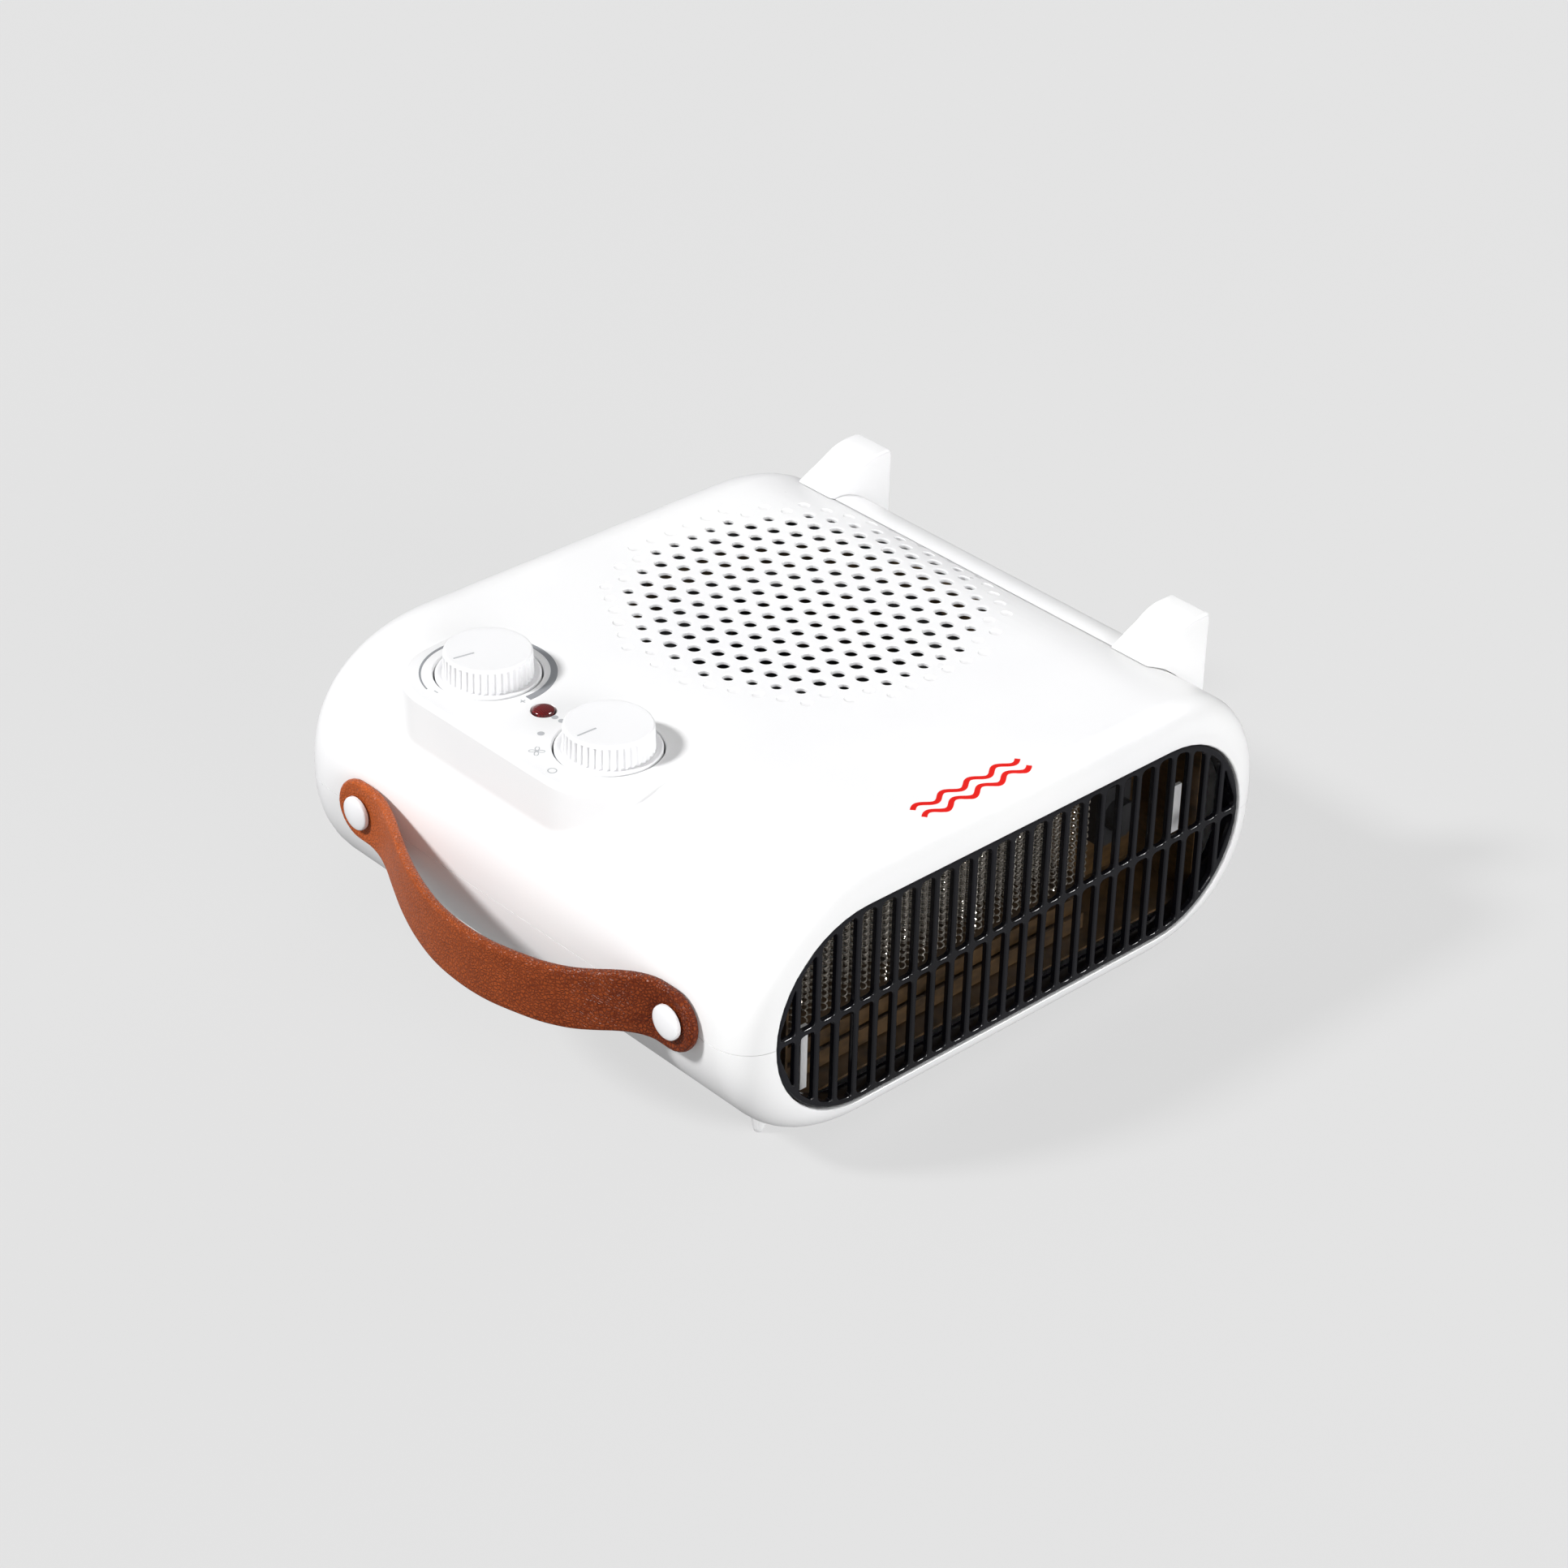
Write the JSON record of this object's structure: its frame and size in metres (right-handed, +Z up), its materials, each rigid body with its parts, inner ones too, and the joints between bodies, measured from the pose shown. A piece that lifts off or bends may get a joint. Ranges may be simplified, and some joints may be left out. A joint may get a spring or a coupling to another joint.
{
  "type": "flat fan heater",
  "caption": "Portable flat fan heater with a perforated air intake, slotted outlet, two control dials, side fins to stand on and a leather carrying strap.",
  "frame": {"origin": "on the floor, under the middle of the whole outline, strap and fins included", "axes": "+X from the strap towards the side fins, along the outlet; +Y from the outlet towards the back; +Z up, with the heater lying flat"},
  "size_m": [0.2905, 0.249, 0.1192],
  "materials": {
    "white_shell": "satin moulded plastic with a very fine texture",
    "white_trim": "satin moulded plastic",
    "white_knob": "satin moulded plastic with a fluted grip",
    "rivet_cap": "smooth semi-gloss",
    "black_grille": "gloss, blue-black",
    "strap_leather": "fine pebble grain with a lighter painted edge",
    "red_lens": "glossy translucent dark red",
    "lamp_holder": "plain cream moulding",
    "inner_plastic": "plain moulding",
    "dark_plastic": "plain dark moulding",
    "steel": "plated sheet and turned steel",
    "mica": "layered brown mica sheet, slightly glossy",
    "heating_wire": "bright drawn resistance wire"
  },
  "bodies": {
    "housing": {"upper_shell": "white_shell", "lower_shell": "white_shell", "outlet_grille": "black_grille", "stand_plate": "white_trim", "stand_fin_front": "white_trim", "stand_fin_rear": "white_trim", "corner_foot_front": "white_trim", "corner_foot_rear": "white_trim", "strap": "strap_leather", "strap_rivet_front": "rivet_cap", "strap_rivet_rear": "rivet_cap", "rivet_washer_front": "steel", "rivet_washer_rear": "steel", "thermostat_body": "lamp_holder", "selector_switch": "dark_plastic", "indicator_lens": "red_lens", "indicator_lamp": "lamp_holder", "heater_frame": "steel", "mica_shelf_low": "mica", "mica_shelf_high": "mica", "mica_louvre_1": "mica", "mica_louvre_2": "mica", "mica_louvre_3": "mica", "mica_end_plate": "mica", "heating_wire_1": "heating_wire", "heating_wire_2": "heating_wire", "heating_wire_3": "heating_wire", "end_strip_right": "steel", "end_strip_left": "steel", "thermal_cutout": "dark_plastic", "thermal_fuse": "steel", "air_guide": "inner_plastic", "motor": "steel", "motor_bracket": "steel", "terminal_block": "lamp_holder", "cord_inlet": "white_trim", "shell_screw_1": "steel", "shell_screw_2": "steel", "shell_screw_3": "steel", "shell_screw_4": "steel"},
    "thermostat_dial": {"thermostat_knob": "white_knob", "thermostat_shaft": "steel"},
    "selector_dial": {"selector_knob": "white_knob", "selector_shaft": "dark_plastic"},
    "fan_rotor": {"fan_impeller": "dark_plastic", "motor_shaft": "steel"}
  },
  "joints": [
    {"name": "thermostat_turn", "type": "hinge", "parent": "housing", "child": "thermostat_dial", "pos_m": [-0.0733, 0.0549, 0.11], "axis": [0, 0, 1], "range_deg": [-260, 0]},
    {"name": "selector_turn", "type": "hinge", "parent": "housing", "child": "selector_dial", "pos_m": [-0.0733, -0.0107, 0.11], "axis": [0, 0, 1], "range_deg": [-90, 0]},
    {"name": "fan_spin", "type": "hinge", "parent": "housing", "child": "fan_rotor", "pos_m": [0.0472, 0.0204, 0.06], "axis": [0, 0, 1], "continuous": true}
  ]
}
